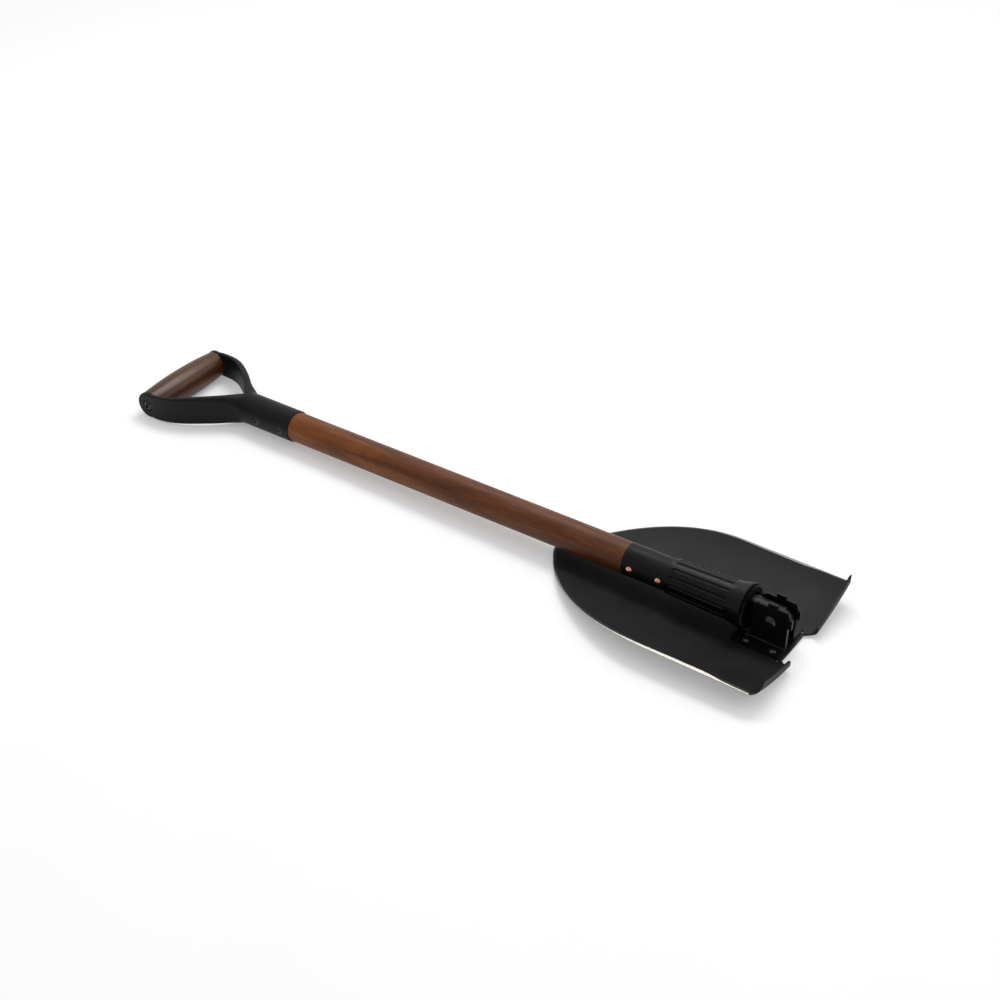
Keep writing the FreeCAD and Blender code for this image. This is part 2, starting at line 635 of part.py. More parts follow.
def blade_sheet():
    """The blade's lengthwise section, turned about the trough's axis: sheet, bend and foot step."""
    sketch = doc.addObject("Sketcher::SketchObject", "blade_section")
    radius, gauge, bend = size("trough_radius"), size("blade_gauge"), size("step_bend")
    front, rise = size("blade_front"), size("step_rise")
    bend_x = front - gauge - bend
    back = -240.0
    points = {
        "back_top": Vector(back, -radius, 0),
        "bend_top": Vector(bend_x, -radius, 0),
        "step_inner": Vector(front - gauge, -radius + bend, 0),
        "step_inner_top": Vector(front - gauge, -radius + rise, 0),
        "step_outer_top": Vector(front, -radius + rise, 0),
        "step_outer": Vector(front, -radius + bend, 0),
        "bend_bottom": Vector(bend_x, -radius - gauge, 0),
        "back_bottom": Vector(back, -radius - gauge, 0),
    }
    middle = Vector(bend_x, -radius + bend, 0)
    diagonal = math.sqrt(0.5)
    inner_arc = Part.Arc(
        points["bend_top"],
        middle + Vector(bend * diagonal, -bend * diagonal, 0),
        points["step_inner"],
    )
    outer = bend + gauge
    outer_arc = Part.Arc(
        points["step_outer"],
        middle + Vector(outer * diagonal, -outer * diagonal, 0),
        points["bend_bottom"],
    )
    names = list(points)
    for one, other in zip(names, names[1:] + names[:1]):
        if (one, other) == ("bend_top", "step_inner"):
            sketch.addGeometry(inner_arc, False)
        elif (one, other) == ("step_outer", "bend_bottom"):
            sketch.addGeometry(outer_arc, False)
        else:
            sketch.addGeometry(Part.LineSegment(points[one], points[other]), False)
    sketch.Placement = Placement(Vector(0, 0, 0), Rotation(Vector(1, 0, 0), 90))
    sketch.setExpression("Placement.Base.z", "sizes.trough_radius - sizes.blade_drop")
    turn = doc.addObject("Part::Revolution", "blade_trough")
    turn.Source = sketch
    turn.Axis = Vector(1, 0, 0)
    turn.Base = Vector(0, 0, radius - size("blade_drop"))
    turn.Angle = 60
    turn.Symmetric = True
    turn.Solid = True
    return turn


def blade_outline():
    """The blade seen from above, as a tall prism: two long arcs meet at the tip."""
    sketch = doc.addObject("Sketcher::SketchObject", "blade_plan")
    half, start, radius = size("blade_half"), size("point_start"), size("point_radius")
    rear, front, gap = size("blade_rear"), size("blade_front"), size("step_gap")
    corner = 6.0
    offset = radius - half
    reach = math.sqrt(radius * radius - offset * offset)
    tip = Vector(start - reach, 0, 0)
    lean = math.radians(22)
    bulge = Vector(start - radius * math.sin(2 * lean), radius * math.cos(2 * lean) - offset, 0)
    side = [
        Vector(rear, gap - 5, 0),
        Vector(rear + 6, gap - 0.5, 0),
        Vector(front + 2, gap, 0),
        Vector(front + 2, half - corner - 4, 0),
        Vector(front, half - corner - 2, 0),
    ]
    corner_middle = Vector(front - corner * (1 - math.sqrt(0.5)), half - corner * (1 - math.sqrt(0.5)), 0)
    corner_end = Vector(front - corner, half, 0)
    arc_start = Vector(start, half, 0)

    def mirrored(point):
        return Vector(point.x, -point.y, 0)

    def half_outline(place):
        lines = [Part.LineSegment(place(a), place(b)) for a, b in zip(side, side[1:])]
        lines.append(Part.Arc(place(side[-1]), place(corner_middle), place(corner_end)))
        lines.append(Part.LineSegment(place(corner_end), place(arc_start)))
        lines.append(Part.Arc(place(arc_start), place(bulge), tip))
        return lines

    sketch.addGeometry(Part.LineSegment(mirrored(side[0]), side[0]), False)
    for edge in half_outline(lambda point: point) + half_outline(mirrored):
        sketch.addGeometry(edge, False)
    prism = doc.addObject("Part::Extrusion", "blade_prism")
    prism.Base = sketch
    prism.DirMode = "Custom"
    prism.Dir = Vector(0, 0, 1)
    prism.LengthFwd = 60
    prism.LengthRev = 60
    prism.Solid = True
    return prism


EAR_RIVETS = [(-15.2, 1), (-15.2, -1), (8.4, 1), (8.4, -1)]


def rivet_rods(name, radius, start, length):
    """A cylinder along Z at each ear rivet."""
    return [
        rod(f"{name}_{i}", radius, start, length, "z", (f"{x}", f"{side} * sizes.ear_rivet_y", "0"))
        for i, (x, side) in enumerate(EAR_RIVETS)
    ]


def step_trim(name, side, corners):
    """A prism along X that trims the top of one foot step; corners are (distance from middle, z)."""
    prism = doc.addObject("Part::Extrusion", name)
    outline = doc.addObject("Part::Polygon", name + "_outline")
    outline.Nodes = [Vector(0, side * y, z) for y, z in corners]
    outline.Close = True
    prism.Base = outline
    prism.DirMode = "Custom"
    prism.Dir = Vector(1, 0, 0)
    prism.LengthFwd = 12
    prism.Solid = True
    return bind(prism, Base_x="sizes.blade_front - sizes.blade_gauge - sizes.step_bend")


STEP_INNER_END = [(18, -17.2), (50, -8.8), (50, 5), (18, 5)]
STEP_OUTER_END = [(70, -2.6), (80, -9.2), (92, -9.2), (92, 8), (70, 8)]
step_tools = [step_trim(f"step_trim_inner_{side}", side, STEP_INNER_END) for side in (1, -1)]
step_tools.append(step_trim("step_trim_outer", -1, STEP_OUTER_END))
blade_cut = cut("blade_stepped", common("blade_trimmed", blade_sheet(), blade_outline()), step_tools)
blade_holes = rivet_rods("blade_rivet_hole", "sizes.ear_rivet_radius + sizes.play", "-40", "30")
blade_holes += [
    rod(f"drain_hole_{i}", "1.5", "-40", "30", "z", ("16", f"{side} * 21.5", "0"))
    for i, side in enumerate((1, -1))
]
blade_flat = cut("blade_drilled", blade_cut, blade_holes)
doc.recompute()


def sharp_edges(shape):
    """Numbers of the edges where the hollow side meets the cut sides, from the tip to the corners."""
    found = []
    for index, edge in enumerate(shape.Edges, start=1):
        middle = edge.valueAt((edge.FirstParameter + edge.LastParameter) / 2)
        from_axis = math.hypot(middle.y, middle.z - (size("trough_radius") - size("blade_drop")))
        on_top = abs(from_axis - size("trough_radius")) < 0.01
        sideways = abs(middle.y) > size("step_gap") and middle.x < size("blade_rear")
        if on_top and sideways and edge.Length > 30:
            found.append(index)
    return found


blade = doc.addObject("Part::Chamfer", "blade_ground")
blade.Base = blade_flat
bevel = size("edge_bevel")
blade.Edges = [(index, bevel, bevel * 0.45) for index in sharp_edges(blade_flat.Shape)]
node("blade", hang(blade))


# ---------------------------------------------------------------- ears and pivot
def ear_plate(name, side):
    """The upright plate of one ear: its outline in the hinge's plane, with two locking tabs."""
    sketch = doc.addObject("Sketcher::SketchObject", name + "_outline")
    foot = Vector(-22.0, -22.4, 0)
    flare_end = Vector(-15.5, -13.0, 0)
    flare = Part.Arc(foot, Vector(-16.6, -18.9, 0), flare_end)
    corner = Part.Arc(Vector(13.0, 15.6, 0), Vector(15.1, 14.7, 0), Vector(16.0, 12.6, 0))
    left = [
        flare_end,
        Vector(-15.5, 11.0, 0),
        Vector(-11.3, 14.8, 0),
        Vector(-3.0, 14.8, 0),
        Vector(-3.0, 18.3, 0),
        Vector(5.0, 18.3, 0),
        Vector(5.0, 15.6, 0),
        Vector(13.0, 15.6, 0),
    ]
    right = [
        Vector(16.0, 12.6, 0),
        Vector(16.0, 9.3, 0),
        Vector(19.0, 9.3, 0),
        Vector(19.0, 0.7, 0),
        Vector(16.0, 0.7, 0),
        Vector(16.0, -22.4, 0),
        foot,
    ]
    sketch.addGeometry(flare, False)
    for start, end in zip(left, left[1:]):
        sketch.addGeometry(Part.LineSegment(start, end), False)
    sketch.addGeometry(corner, False)
    for start, end in zip(right, right[1:]):
        sketch.addGeometry(Part.LineSegment(start, end), False)
    sketch.Placement = Placement(Vector(), Rotation(Vector(1, 0, 0), 90))
    start = "sizes.ear_gap" if side > 0 else "-sizes.ear_gap - sizes.ear_gauge"
    bind(sketch, Base_y=start)
    plate = doc.addObject("Part::Extrusion", name + "_plate")
    plate.Base = sketch
    plate.DirMode = "Custom"
    plate.Dir = Vector(0, 1, 0)
    plate.Solid = True
    return bind(plate, LengthFwd="sizes.ear_gauge")


def ear(name, side):
    """One L-shaped ear; its foot follows the blade's hollow side."""
    foot = doc.addObject("Part::Box", name + "_foot_block")
    bind(foot, Length="43", Width="15.2", Height="8")
    start = "sizes.ear_gap" if side > 0 else "-sizes.ear_gap - 15.2"
    bind(foot, Base_x="-27", Base_y=start, Base_z="-29.2")
    bedded = common(name + "_foot", foot, trough_space(name + "_bed"))
    weld = rod(name + "_weld", "1.6", "-20", "36", "x",
               ("0", f"{side} * (sizes.ear_gap + sizes.ear_gauge)", "-21.4"))
    solid = fuse(name + "_solid", [ear_plate(name, side), bedded, weld])
    tools = rivet_rods(name + "_hole", "sizes.ear_rivet_radius + sizes.play", "-40", "30")
    tools.append(rod(name + "_pivot_hole", "sizes.pivot_radius + sizes.play", "-20", "40", "y", LEVEL))
    return hang(cut(name + "_drilled", solid, tools))


node("left_ear", ear("left", 1))
node("right_ear", ear("right", -1))

rivets = []
for i, (x, side) in enumerate(EAR_RIVETS):
    y = f"{side} * sizes.ear_rivet_y"
    pin = rod(f"ear_pin_{i}", "sizes.ear_rivet_radius", "-25.4", "4.2", "z", (f"{x}", y, "0"))
    ball = doc.addObject("Part::Sphere", f"ear_head_ball_{i}")
    ball.Radius = 4.4
    bind(ball, Base_x=f"{x}", Base_y=y, Base_z="-21.2 + 1.4 - 4.4")
    block = rod(f"ear_head_block_{i}", "3.3", "-21.2", "1.4", "z", (f"{x}", y, "0"))
    rivets.append(fuse(f"ear_rivet_{i}", [pin, common(f"ear_head_{i}", block, ball)]))
node("ear_rivets", hang(group("ear_rivet_set", rivets)))

outer_face = "sizes.ear_gap + sizes.ear_gauge"
pivot_head = button_head("pivot_head", 5.3, 2.9, 2.2, f"-({outer_face})", -1, ("0", "0"))
pivot_shank = rod("pivot_shank", "sizes.pivot_radius", f"-({outer_face})", "23.4", "y", LEVEL)
node("pivot_bolt", hang(fuse("pivot_bolt_solid", [pivot_head, pivot_shank])))

hexagon = doc.addObject("Part::Prism", "nut_hexagon")
hexagon.Polygon = 6
hexagon.Circumradius = 5.77
hexagon.Height = 5
hexagon.Placement = Placement(Vector(), TURN["y"])
bind(hexagon, Base_y=outer_face)
nut_hole = rod("nut_hole", "sizes.pivot_radius + sizes.play", "0", "20", "y", LEVEL)
node("pivot_nut", hang(cut("pivot_nut_drilled", hexagon, [nut_hole])))

washers = []
for label, start in (("near", "-sizes.ear_gap + sizes.play"), ("far", "sizes.tang_half + sizes.play")):
    disc = rod(f"washer_{label}_disc", "sizes.washer_radius", start, "0.7", "y", LEVEL)
    hole = rod(f"washer_{label}_hole", "sizes.pivot_radius + sizes.play", "-20", "40", "y", LEVEL)
    washers.append(cut(f"washer_{label}", disc, [hole]))
node("pivot_washers", hang(group("washer_pair", washers)))


# ---------------------------------------------------------------- check and export
doc.recompute()
bad = [thing.Name for thing in doc.Objects if {"Invalid", "Error"} & set(thing.State)]
for name, thing in nodes.items():
    if thing.Shape.isNull() or not thing.Shape.isValid():
        bad.append(name)
if bad:
    raise RuntimeError(f"not built cleanly: {bad}")
box = FreeCAD.BoundBox()
for name, thing in nodes.items():
    box.add(thing.Shape.BoundBox)
    thing.Shape.exportStep(f"parts/{name}.step")
    print(f"{name}: {len(thing.Shape.Solids)} solids, {thing.Shape.Volume / 1000:.2f} cm3")
print(f"box: {box.XMin:.2f} {box.YMin:.2f} {box.ZMin:.2f} to {box.XMax:.2f} {box.YMax:.2f} {box.ZMax:.2f}")
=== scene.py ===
import math

import bpy
from mathutils import Matrix, Vector


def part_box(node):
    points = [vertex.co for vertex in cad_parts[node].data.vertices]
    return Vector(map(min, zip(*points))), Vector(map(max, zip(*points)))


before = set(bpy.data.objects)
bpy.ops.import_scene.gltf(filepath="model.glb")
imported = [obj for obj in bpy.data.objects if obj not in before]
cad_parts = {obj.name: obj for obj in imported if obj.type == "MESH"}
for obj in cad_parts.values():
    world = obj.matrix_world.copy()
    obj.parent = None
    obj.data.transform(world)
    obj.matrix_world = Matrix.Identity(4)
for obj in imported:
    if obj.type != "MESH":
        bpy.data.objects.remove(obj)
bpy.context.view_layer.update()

# Metres throughout, in the part's own frame: +X runs along the shaft to the hinge, +Z is up.
MM = 0.001
AXIS_Z = (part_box("wood_shaft")[0][2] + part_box("wood_shaft")[1][2]) / 2


# ------------------------------------------------------------------ material tools
def times(values, factor):
    return tuple(value * factor for value in values)


class Shader:
    """A new material with its principled shader, and short ways to add the usual nodes."""

    CURVE_TOP = 2.0  # a curve node's values end at 1, so they are stored as shares of this

    def __init__(self, name, color, roughness, metallic=0.0, specular=0.5):
        self.material = bpy.data.materials.new(name)
        self.material.use_nodes = True
        self.tree = self.material.node_tree
        self.surface = self.tree.nodes["Principled BSDF"]
        self.surface.inputs["Base Color"].default_value = (*color, 1)
        self.surface.inputs["Roughness"].default_value = roughness
        self.surface.inputs["Metallic"].default_value = metallic
        self.surface.inputs["Specular IOR Level"].default_value = specular
        self.coords = self.tree.nodes.new("ShaderNodeTexCoord").outputs["Object"]

    def link(self, source, target):
        self.tree.links.new(source, target)

    def place(self):
        """The object's X and Y coordinates."""
        node = self.tree.nodes.new("ShaderNodeSeparateXYZ")
        self.link(self.coords, node.inputs[0])
        return node.outputs["X"], node.outputs["Y"]

    def noise(self, scale, detail=4.0, roughness=0.55, distortion=0.0, shift=(0, 0, 0)):
        """Noise in object coordinates; scale is in texture cells per metre."""
        mapping = self.tree.nodes.new("ShaderNodeMapping")
        mapping.inputs["Scale"].default_value = scale
        mapping.inputs["Location"].default_value = shift
        self.link(self.coords, mapping.inputs["Vector"])
        node = self.tree.nodes.new("ShaderNodeTexNoise")
        node.inputs["Scale"].default_value = 1.0
        node.inputs["Detail"].default_value = detail
        node.inputs["Roughness"].default_value = roughness
        node.inputs["Distortion"].default_value = distortion
        self.link(mapping.outputs["Vector"], node.inputs["Vector"])
        return node.outputs["Fac"]

    def span(self, source, start, end):
        """0 where the source is at start, 1 where it is at end."""
        node = self.tree.nodes.new("ShaderNodeMapRange")
        node.inputs["From Min"].default_value = start
        node.inputs["From Max"].default_value = end
        self.link(source, node.inputs["Value"])
        return node.outputs[0]

    def ramp(self, source, stops):
        """A colour ramp; stops are (place, grey) or (place, (r, g, b))."""
        node = self.tree.nodes.new("ShaderNodeValToRGB")
        elements = node.color_ramp.elements
        while len(elements) < len(stops):
            elements.new(0.5)
        for element, (place, value) in zip(elements, stops):
            rgb = value if isinstance(value, tuple) else (value, value, value)
            element.position = place
            element.color = (*rgb, 1)
        self.link(source, node.inputs["Fac"])
        return node.outputs["Color"]

    def curve(self, source, points):
        """A smooth curve through (place, value) points, with places from 0 to 1."""
        node = self.tree.nodes.new("ShaderNodeFloatCurve")
        line = node.mapping.curves[0]
        for place, value in points[1:-1]:
            line.points.new(place, value / self.CURVE_TOP)
        line.points[0].location = (0.0, points[0][1] / self.CURVE_TOP)
        line.points[len(line.points) - 1].location = (1.0, points[-1][1] / self.CURVE_TOP)
        node.mapping.update()
        self.link(source, node.inputs["Value"])
        return self.math("MULTIPLY", node.outputs[0], self.CURVE_TOP)

    def mix(self, factor, one, other, how="MIX"):
        """Mixes two colours; factor and colours are sockets or plain values."""
        node = self.tree.nodes.new("ShaderNodeMix")
        node.data_type = "RGBA"
        node.blend_type = how
        sockets = (node.inputs[0], node.inputs[6], node.inputs[7])
        for socket, value in zip(sockets, (factor, one, other)):
            if isinstance(value, bpy.types.NodeSocket):
                self.link(value, socket)
            elif isinstance(value, tuple):
                socket.default_value = (*value, 1)
            else:
                socket.default_value = value
        return node.outputs[2]

    def math(self, how, one, other=0.0):
        """One sum; both terms are sockets or plain values."""
        node = self.tree.nodes.new("ShaderNodeMath")
        node.operation = how
        for socket, value in zip(node.inputs, (one, other)):
            if isinstance(value, bpy.types.NodeSocket):
                self.link(value, socket)
            else:
                socket.default_value = value
        return node.outputs[0]

    def bump(self, height, distance, strength, below=None):
        """A bump of so many metres; several stack through `below`."""
        node = self.tree.nodes.new("ShaderNodeBump")
        node.inputs["Distance"].default_value = distance
        node.inputs["Strength"].default_value = strength
        self.link(height, node.inputs["Height"])
        if below is not None:
            self.link(below, node.inputs["Normal"])
        return node.outputs["Normal"]

    def into(self, **sockets):
        """Links outputs into the shader: color, rough, normal, metal."""
        names = {
            "color": "Base Color", "rough": "Roughness", "normal": "Normal", "metal": "Metallic",
        }
        for key, source in sockets.items():
            self.link(source, self.surface.inputs[names[key]])
        return self.material


# ------------------------------------------------------------------ materials
def stained_wood(name, along, light, dark, gloss, satin, far_tint=None):
    """Oiled, stained hardwood with its grain along one axis.

    far_tint is (start, end, tint): the tint grows in along X, from start to end.
    """
    shader = Shader(name, dark, satin, specular=gloss)

    def stretched(long, across):
        return tuple(long if axis == along else across for axis in "xyz")

    figure = shader.noise(stretched(9, 75), detail=4, distortion=1.1)
    streaks = shader.noise(stretched(16, 420), detail=5, roughness=0.65, distortion=0.4)
    flecks = shader.noise(stretched(85, 900), detail=3, roughness=0.6, shift=(4, 2, 9))
    pores = shader.noise(stretched(140, 2300), detail=2, roughness=0.5)
    blotches = shader.noise(stretched(18, 34), detail=4, shift=(3, 1, 7))
    middle = tuple((a + b) / 2 for a, b in zip(light, dark))
    base = shader.ramp(figure, [(0.34, dark), (0.50, middle), (0.66, light)])
    for strength, layer, stops in (
        (0.45, streaks, [(0.34, 0.45), (0.60, 1.0)]),
        (0.35, flecks, [(0.40, 0.50), (0.56, 1.0)]),
        (0.35, pores, [(0.36, 0.30), (0.50, 1.0)]),
        (0.50, blotches, [(0.35, 0.62), (0.65, 1.0)]),
    ):
        base = shader.mix(strength, base, shader.ramp(layer, stops), "MULTIPLY")
    if far_tint is not None:
        start, end, tint = far_tint
        x, _ = shader.place()
        reach = shader.span(x, start, end)
        ragged = shader.math("MULTIPLY", shader.math("SUBTRACT", blotches, 0.5), 0.8)
        drift = shader.ramp(shader.math("ADD", reach, ragged), [(0.0, 0.0), (1.0, 1.0)])
        base = shader.mix(drift, base, shader.mix(1.0, base, tint, "MULTIPLY"))
    rough = shader.ramp(streaks, [(0.3, satin + 0.09), (0.7, satin - 0.05)])
    normal = shader.bump(pores, 0.06 * MM, 0.5)
    normal = shader.bump(streaks, 0.10 * MM, 0.35, below=normal)
    return shader.into(color=base, rough=rough, normal=normal)


def coated_steel(name, color, roughness, grain=2600, wear=0.0, specular=0.2):
    """Powder-coated steel or moulded plastic: a fine orange peel, faint dust and scuffs."""
    shader = Shader(name, color, roughness, specular=specular)
    peel = shader.noise((grain, grain, grain), detail=2)
    cloud = shader.noise((38, 38, 38), detail=4)
    specks = shader.noise((900, 900, 900), detail=1, shift=(2, 5, 1))
    scuffs = shader.noise((60, 700, 700), detail=4, distortion=0.6, shift=(8, 3, 5))
    dusty = times(color, 2.4)
    tone = shader.ramp(cloud, [(0.3, times(color, 0.82)), (0.7, times(color, 1.20))])
    tone = shader.mix(shader.ramp(specks, [(0.70, 0.0), (0.78, 0.3 + wear)]), tone, dusty)
    tone = shader.mix(shader.ramp(scuffs, [(0.66, 0.0), (0.74, 0.15 + wear)]), tone, dusty)
    rough = shader.ramp(cloud, [(0.3, roughness - 0.05), (0.7, roughness + 0.07)])
    return shader.into(color=tone, rough=rough, normal=shader.bump(peel, 0.05 * MM, 0.35))


def bare_metal(name, color, roughness, along=(1, 1, 1), metallic=1.0):
    """Machined or polished metal with fine tool marks across `along`."""
    shader = Shader(name, color, roughness, metallic, specular=0.3)
    marks = shader.noise(times(along, 900), detail=3)
    smudge = shader.noise((70, 70, 70), detail=3)
    tone = shader.ramp(smudge, [(0.3, times(color, 0.72)), (0.7, color)])
    rough = shader.ramp(marks, [(0.3, roughness - 0.06), (0.7, roughness + 0.08)])
    return shader.into(color=tone, rough=rough, normal=shader.bump(marks, 0.03 * MM, 0.3))


class BladeOutline:
    """The blade's sharpened outline seen from above, read from the rim's points.

    Each place is given as an angle, 0 at the tip and 1 square across at the shoulder, and a
    reach, 1 on the ellipse through the tip and the sides. Behind the shoulder the angle stays 1.
    """

    STEPS = 18

    def __init__(self, rim, shoulder):
        self.shoulder = shoulder
        self.length = shoulder - min(point.x for point in rim)
        self.side = max(point.y for point in rim)
        reaches = [[] for _ in range(self.STEPS + 1)]
        for point in rim:
            ahead = max(shoulder - point.x, 0) / self.length
            across = abs(point.y) / self.side
            step = round(math.atan2(across, ahead) / (math.pi / 2) * self.STEPS)
            reaches[step].append(math.hypot(ahead, across))
        self.places = [
            (step / self.STEPS, max(found)) for step, found in enumerate(reaches) if found
        ]


def ground_chamfer(name, coat, steel, outline, rear, widest):
    """Blade coating with a band of bare steel inside the outline.

    The band is at its widest on the straight sides, thinner round the point, and runs out
    before the rear corners.
    """
    shader = Shader(name, coat, 0.48, specular=0.2)
    x, y = shader.place()
    forward = shader.math("MAXIMUM", shader.math("SUBTRACT", outline.shoulder, x))
    ahead = shader.math("DIVIDE", forward, outline.length)
    across = shader.math("DIVIDE", shader.math("ABSOLUTE", y), outline.side)
    ahead_squared = shader.math("MULTIPLY", ahead, ahead)
    across_squared = shader.math("MULTIPLY", across, across)
    reach = shader.math("SQRT", shader.math("ADD", ahead_squared, across_squared))
    angle = shader.math("DIVIDE", shader.math("ARCTAN2", across, ahead), math.pi / 2)
    inward = shader.math("SUBTRACT", shader.curve(angle, outline.places), reach)
    inward = shader.math("MULTIPLY", inward, outline.side)
    rearward = shader.span(x, outline.shoulder - 90 * MM, rear)
    share = shader.ramp(
        rearward, [(0.0, 0.30), (0.35, 0.45), (0.62, 0.9), (0.80, 1.0), (0.88, 0.3), (1.0, 0.15)]
    )
    ragged = shader.math("MULTIPLY", shader.noise((110, 110, 110), detail=4), 0.6 * MM)
    width = shader.math("ADD", shader.math("MULTIPLY", share, widest), ragged)
    bare = shader.math("LESS_THAN", inward, width)
    scratches = shader.noise((300, 3000, 3000), detail=3)
    polished = shader.ramp(scratches, [(0.3, times(steel, 0.7)), (0.7, steel)])
    return shader.into(
        color=shader.mix(bare, coat, polished),
        rough=shader.ramp(bare, [(0.0, 0.48), (1.0, 0.36)]),
        metal=shader.math("MULTIPLY", bare, 0.9),
        normal=shader.bump(scratches, 0.03 * MM, 0.3),
    )


BLADE_BLACK = (0.0085, 0.0085, 0.0090)
HONED = (0.34, 0.325, 0.295)
MATERIALS = {
    "shaft_wood": stained_wood(
        "shaft_wood", "x", (0.260, 0.078, 0.017), (0.125, 0.036, 0.008), gloss=0.22, satin=0.41,
        far_tint=(-0.16, 0.12, (0.72, 0.74, 0.95)),
    ),
    "grip_wood": stained_wood(
        "grip_wood", "y", (0.130, 0.044, 0.013), (0.046, 0.016, 0.006), gloss=0.32, satin=0.29,
    ),
    "powder_black": coated_steel("powder_black", (0.0066, 0.0066, 0.0072), 0.42, specular=0.14),
    "blade_coat": coated_steel(
        "blade_coat", BLADE_BLACK, 0.48, grain=1700, wear=0.1, specular=0.14,
    ),
    "moulded_black": coated_steel(
        "moulded_black", (0.0020, 0.0020, 0.0023), 0.34, grain=3400, specular=0.19,
    ),
    # Black coating painted darker than powder_black: partly the parts' own black, partly painted
    # shade in and between the hinge ears. Also used on the hinge stud and the collar nut.
    "ear_black_with_painted_shade": coated_steel(
        "ear_black_with_painted_shade", (0.0022, 0.0022, 0.0025), 0.40, grain=2200, specular=0.2,
    ),
    "oxide_black": bare_metal("oxide_black", (0.060, 0.060, 0.064), 0.22, metallic=0.9),
    "ground_edge": bare_metal("ground_edge", HONED, 0.34, along=(0.2, 3, 3)),
    "bare_steel": bare_metal("bare_steel", (0.34, 0.34, 0.35), 0.32),
    "copper": bare_metal("copper", (0.95, 0.50, 0.33), 0.12),
    "bronze": bare_metal("bronze", (0.52, 0.36, 0.16), 0.35),
}


# ------------------------------------------------------------------ CAD nodes
JOIN_WITHIN = 0.02 * MM
SHARP_FROM = math.radians(38)


def paint(node, material):
    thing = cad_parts[node]
    thing.data.materials.clear()
    thing.data.materials.append(MATERIALS[material])


def round_edges(node, width):
    """Rounds a CAD node's sharp edges a little, once points that its faces share are joined."""
    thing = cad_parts[node]
    weld = thing.modifiers.new("weld", "WELD")
    weld.merge_threshold = JOIN_WITHIN
    bevel = thing.modifiers.new("edge", "BEVEL")
    bevel.width = width
    bevel.segments = 2
    bevel.limit_method = "ANGLE"
    bevel.angle_limit = SHARP_FROM
    even = thing.modifiers.new("even", "WEIGHTED_NORMAL")
    even.keep_sharp = False
    even.weight = 60


def faces_of_one_surface(mesh):
    """Groups a CAD mesh's polygons by CAD face: model.glb keeps each face's points apart."""
    leader = list(range(len(mesh.vertices)))

    def root(point):
        while leader[point] != point:
            leader[point] = leader[leader[point]]
            point = leader[point]
        return point

    for polygon in mesh.polygons:
        first = root(polygon.vertices[0])
        for point in polygon.vertices[1:]:
            leader[root(point)] = first
    groups = {}
    for polygon in mesh.polygons:
        groups.setdefault(root(polygon.vertices[0]), []).append(polygon)
    return list(groups.values())


# The sharpened rim and the chamfer above it are the blade's long, narrow CAD faces. The ones
# that curve round the point span far across the blade and end at the shoulder, where the
# straight sides begin.
EDGE_LENGTH_MIN = 80 * MM
CHAMFER_WIDTH_MAX = 6 * MM
RIM_WIDTH_MAX = 1.5 * MM
STRAIGHT_SPAN_MAX = 10 * MM
BARE_BAND_MAX = 2.6 * MM
RIM_SLOT, CHAMFER_SLOT = 1, 2


def bare_the_ground_edge(blade):
    """Bares the rim and the outer part of the chamfer above it."""
    rim, chamfer, shoulders = [], [], []
    for group in faces_of_one_surface(blade.data):
        points = [blade.data.vertices[i].co for polygon in group for i in polygon.vertices]
        low = Vector(min(p[axis] for p in points) for axis in range(3))
        high = Vector(max(p[axis] for p in points) for axis in range(3))
        length = (high - low).length
        width = sum(polygon.area for polygon in group) / length
        if length < EDGE_LENGTH_MIN or width > CHAMFER_WIDTH_MAX:
            continue
        chosen, slot = (rim, RIM_SLOT) if width < RIM_WIDTH_MAX else (chamfer, CHAMFER_SLOT)
        chosen.extend(points)
        if high.y - low.y > STRAIGHT_SPAN_MAX:
            shoulders.append(high.x)
        for polygon in group:
            polygon.material_index = slot
    outline = BladeOutline(rim, shoulder=max(shoulders))
    rear = max(point.x for point in chamfer)
    band = ground_chamfer("ground_chamfer", BLADE_BLACK, HONED, outline, rear, BARE_BAND_MAX)
    blade.data.materials.append(MATERIALS["ground_edge"])
    blade.data.materials.append(band)


for node, material in (
    ("wood_shaft", "shaft_wood"),
    ("handle_yoke", "powder_black"),
    ("wood_grip", "grip_wood"),
    ("grip_rod", "bare_steel"),
    ("grip_screws", "oxide_black"),
    ("socket_bolts", "oxide_black"),
    ("socket_sleeve_nuts", "oxide_black"),
    ("ferrule", "powder_black"),
    ("ferrule_rivets", "copper"),
    ("hinge_stud", "ear_black_with_painted_shade"),
    ("pivot_bush", "bronze"),
    ("collar_grip", "moulded_black"),
    ("collar_nut", "ear_black_with_painted_shade"),
    ("keyed_washer", "oxide_black"),
    ("blade", "blade_coat"),
    ("left_ear", "ear_black_with_painted_shade"),
    ("right_ear", "ear_black_with_painted_shade"),
    ("ear_rivets", "oxide_black"),
    ("pivot_bolt", "oxide_black"),
    ("pivot_nut", "oxide_black"),
    ("pivot_washers", "bare_steel"),
):
    paint(node, material)

bare_the_ground_edge(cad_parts["blade"])

for node, width in (
    ("ferrule", 0.30 * MM),
    ("left_ear", 0.25 * MM),
    ("right_ear", 0.25 * MM),
    ("pivot_bolt", 0.20 * MM),
    ("pivot_nut", 0.20 * MM),
):
    round_edges(node, width)


# ------------------------------------------------------------------ floor
# The shovel rests on the D-handle's arms and on the blade's rear edge, so its axis leans a
# little towards the handle. The floor leans instead: it passes just under the rear edge, and
# rises by ARMS_ABOVE over the ARMS_BEHIND from there to the arms' resting point.
ARMS_ABOVE, ARMS_BEHIND = 0.01146, 0.6706
UNDER_REAR_EDGE = (0.3380, 0, -0.0004)
FLOOR_HALF = 6.0
FLOOR_GLOW = 0.28

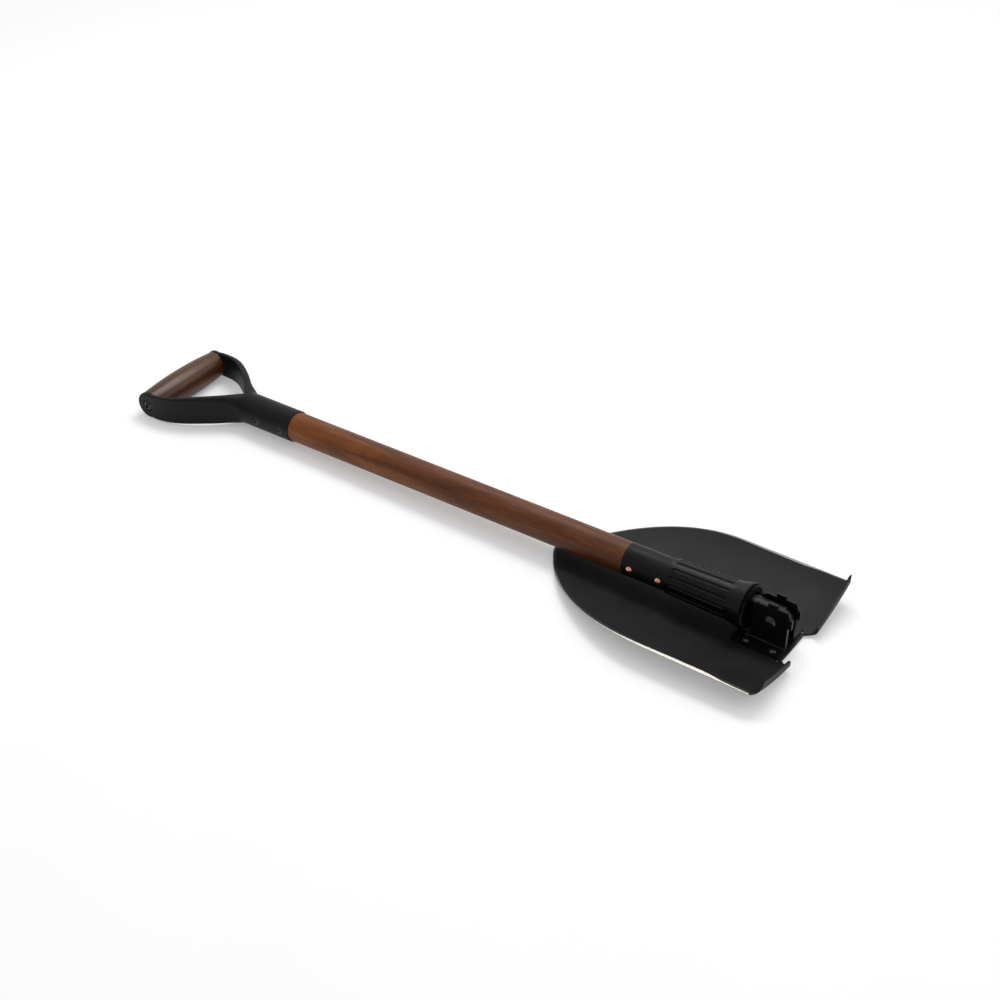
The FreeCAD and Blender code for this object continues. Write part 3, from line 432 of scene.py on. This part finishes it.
floor_shader = Shader("floor_paper", (0.7, 0.7, 0.7), 0.9, specular=0.1)
floor_shader.surface.inputs["Emission Color"].default_value = (1, 1, 1, 1)
floor_shader.surface.inputs["Emission Strength"].default_value = FLOOR_GLOW
floor_noise = floor_shader.noise((9, 9, 9), detail=3)
floor_tone = floor_shader.ramp(floor_noise, [(0.0, 0.70), (1.0, 0.72)])
floor_mesh = bpy.data.meshes.new("floor")
corners = [(FLOOR_HALF * x, FLOOR_HALF * y, 0) for x, y in ((-1, -1), (1, -1), (1, 1), (-1, 1))]
floor_mesh.from_pydata(corners, [], [(0, 1, 2, 3)])
floor_mesh.materials.append(floor_shader.into(color=floor_tone))
floor = bpy.data.objects.new("floor", floor_mesh)
floor.location = UNDER_REAR_EDGE
floor.rotation_euler = (0, math.atan2(ARMS_ABOVE, ARMS_BEHIND), 0)
bpy.context.scene.collection.objects.link(floor)


# ------------------------------------------------------------------ lights
def softbox(name, place, aim, size, power):
    """A rectangular light of so many watts at one place, turned to another."""
    light = bpy.data.lights.new(name, "AREA")
    light.shape = "RECTANGLE"
    light.size, light.size_y = size
    light.energy = power
    thing = bpy.data.objects.new(name, light)
    thing.location = place
    thing.rotation_euler = (Vector(aim) - Vector(place)).to_track_quat("-Z", "Y").to_euler()
    bpy.context.scene.collection.objects.link(thing)


softbox("overhead", (-0.15, 0.75, 1.45), (0, 0, 0), (1.2, 0.50), 13.0)
softbox("back_right", (1.5, 1.3, 1.1), (0.1, 0, 0), (0.9, 0.5), 2.5)

# The room is brightest overhead and behind, and darkest low on the near side.
BRIGHTEST = Vector((-0.10, 0.50, 0.86)).normalized()
ROOM_DARK, ROOM_BRIGHT = 0.02, 0.92

world = bpy.data.worlds.new("studio")
world.use_nodes = True
room = world.node_tree.nodes
room["Background"].inputs["Color"].default_value = (1, 1, 1, 1)
toward = room.new("ShaderNodeVectorMath")
toward.operation = "DOT_PRODUCT"
toward.inputs[1].default_value = BRIGHTEST
falloff = room.new("ShaderNodeMapRange")
for socket, value in (
    ("From Min", -1), ("From Max", 1), ("To Min", ROOM_DARK), ("To Max", ROOM_BRIGHT),
):
    falloff.inputs[socket].default_value = value
for source, target in (
    (room.new("ShaderNodeTexCoord").outputs["Generated"], toward.inputs[0]),
    (toward.outputs["Value"], falloff.inputs["Value"]),
    (falloff.outputs[0], room["Background"].inputs["Strength"]),
):
    world.node_tree.links.new(source, target)
bpy.context.scene.world = world
bpy.context.scene.view_settings.view_transform = "Standard"


# ------------------------------------------------------------------ camera
# Fitted to the photograph with the shaft taken as 28 mm across.
AZIMUTH, ELEVATION, ROLL = (math.radians(angle) for angle in (35.95, 35.48, -1.27))
CAMERA_AT = Vector((0.7406, -0.9521, AXIS_Z + 0.8461))
LENS, SENSOR = 59.4, 36

back = Vector((
    math.sin(AZIMUTH) * math.cos(ELEVATION),
    -math.cos(AZIMUTH) * math.cos(ELEVATION),
    math.sin(ELEVATION),
))
level_right = Vector((math.cos(AZIMUTH), math.sin(AZIMUTH), 0))
level_up = back.cross(level_right)
right = level_right * math.cos(ROLL) + level_up * math.sin(ROLL)
up = level_up * math.cos(ROLL) - level_right * math.sin(ROLL)
facing = Matrix((right, up, back)).transposed().to_4x4()
camera_data = bpy.data.cameras.new("camera")
camera_data.lens = LENS
camera_data.sensor_width = SENSOR
camera = bpy.data.objects.new("camera", camera_data)
camera.matrix_world = Matrix.Translation(CAMERA_AT) @ facing
bpy.context.scene.collection.objects.link(camera)
bpy.context.scene.camera = camera
